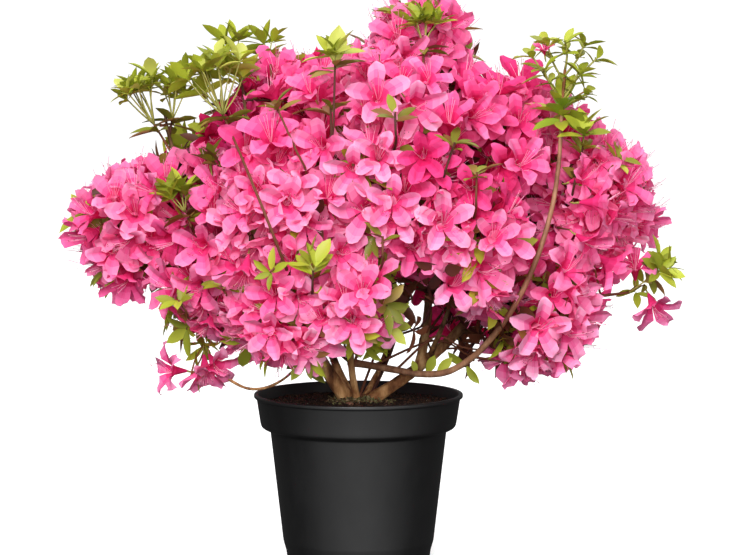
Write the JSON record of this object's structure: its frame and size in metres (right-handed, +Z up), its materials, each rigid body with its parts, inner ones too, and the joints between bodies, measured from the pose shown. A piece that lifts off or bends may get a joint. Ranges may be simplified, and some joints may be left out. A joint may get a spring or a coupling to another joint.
{
  "type": "potted pink azalea shrub",
  "caption": "Evergreen azalea in full pink blossom with leafy shoots and woody stems, growing in a round black nursery pot.",
  "frame": {"origin": "centre of the pot's flat underside, on the surface that it stands on", "axes": "+Z up along the pot's axis, +X to the right of the pictured side, -Y towards the viewer"},
  "size_m": [0.5519, 0.3817, 0.5267],
  "materials": {
    "pot_plastic": "satin black",
    "potting_soil": "crumbly dark peat",
    "bark": "rough brown bark",
    "blossom": "soft matt petals",
    "foliage": "semi-matt leaves"
  },
  "bodies": {
    "root": {"pot": "pot_plastic", "soil": "potting_soil", "root_crown": "bark", "stem_left": "bark", "stem_right": "bark", "stem_front": "bark", "stem_back_left": "bark", "stem_back_right": "bark", "stem_upright": "bark", "bowed_bough_foot": "bark", "bowed_bough_rise": "bark", "far_left_bough": "bark", "upper_left_bough": "bark", "lower_left_bough": "bark", "upper_centre_left_bough": "bark", "left_front_bough": "bark", "centre_low_left_bough": "bark", "centre_low_bough": "bark", "centre_front_bough": "bark", "middle_top_bough": "bark", "centre_right_front_bough": "bark", "lower_right_bough": "bark", "right_bough": "bark", "upper_right_bough": "bark", "top_peak_bough": "bark", "back_top_bough": "bark", "back_left_bough": "bark", "back_low_bough": "bark", "back_centre_bough": "bark", "back_right_bough": "bark", "low_left_spray_bough": "bark", "right_outlier_bough": "bark", "left_shoot_bough": "bark", "far_left_shoot_bough": "bark", "far_left": "blossom", "upper_left": "blossom", "lower_left": "blossom", "upper_centre_left": "blossom", "left_front": "blossom", "centre_low_left": "blossom", "centre_low": "blossom", "centre_front": "blossom", "middle_top": "blossom", "centre_right_front": "blossom", "lower_right": "blossom", "right": "blossom", "upper_right": "blossom", "top_peak": "blossom", "back_top": "blossom", "back_left": "blossom", "back_low": "blossom", "back_centre": "blossom", "back_right": "blossom", "low_left_spray": "blossom", "right_outlier": "blossom", "left_shoot": "foliage", "far_left_shoot": "foliage", "right_shoot": "foliage"}
  },
  "joints": []
}
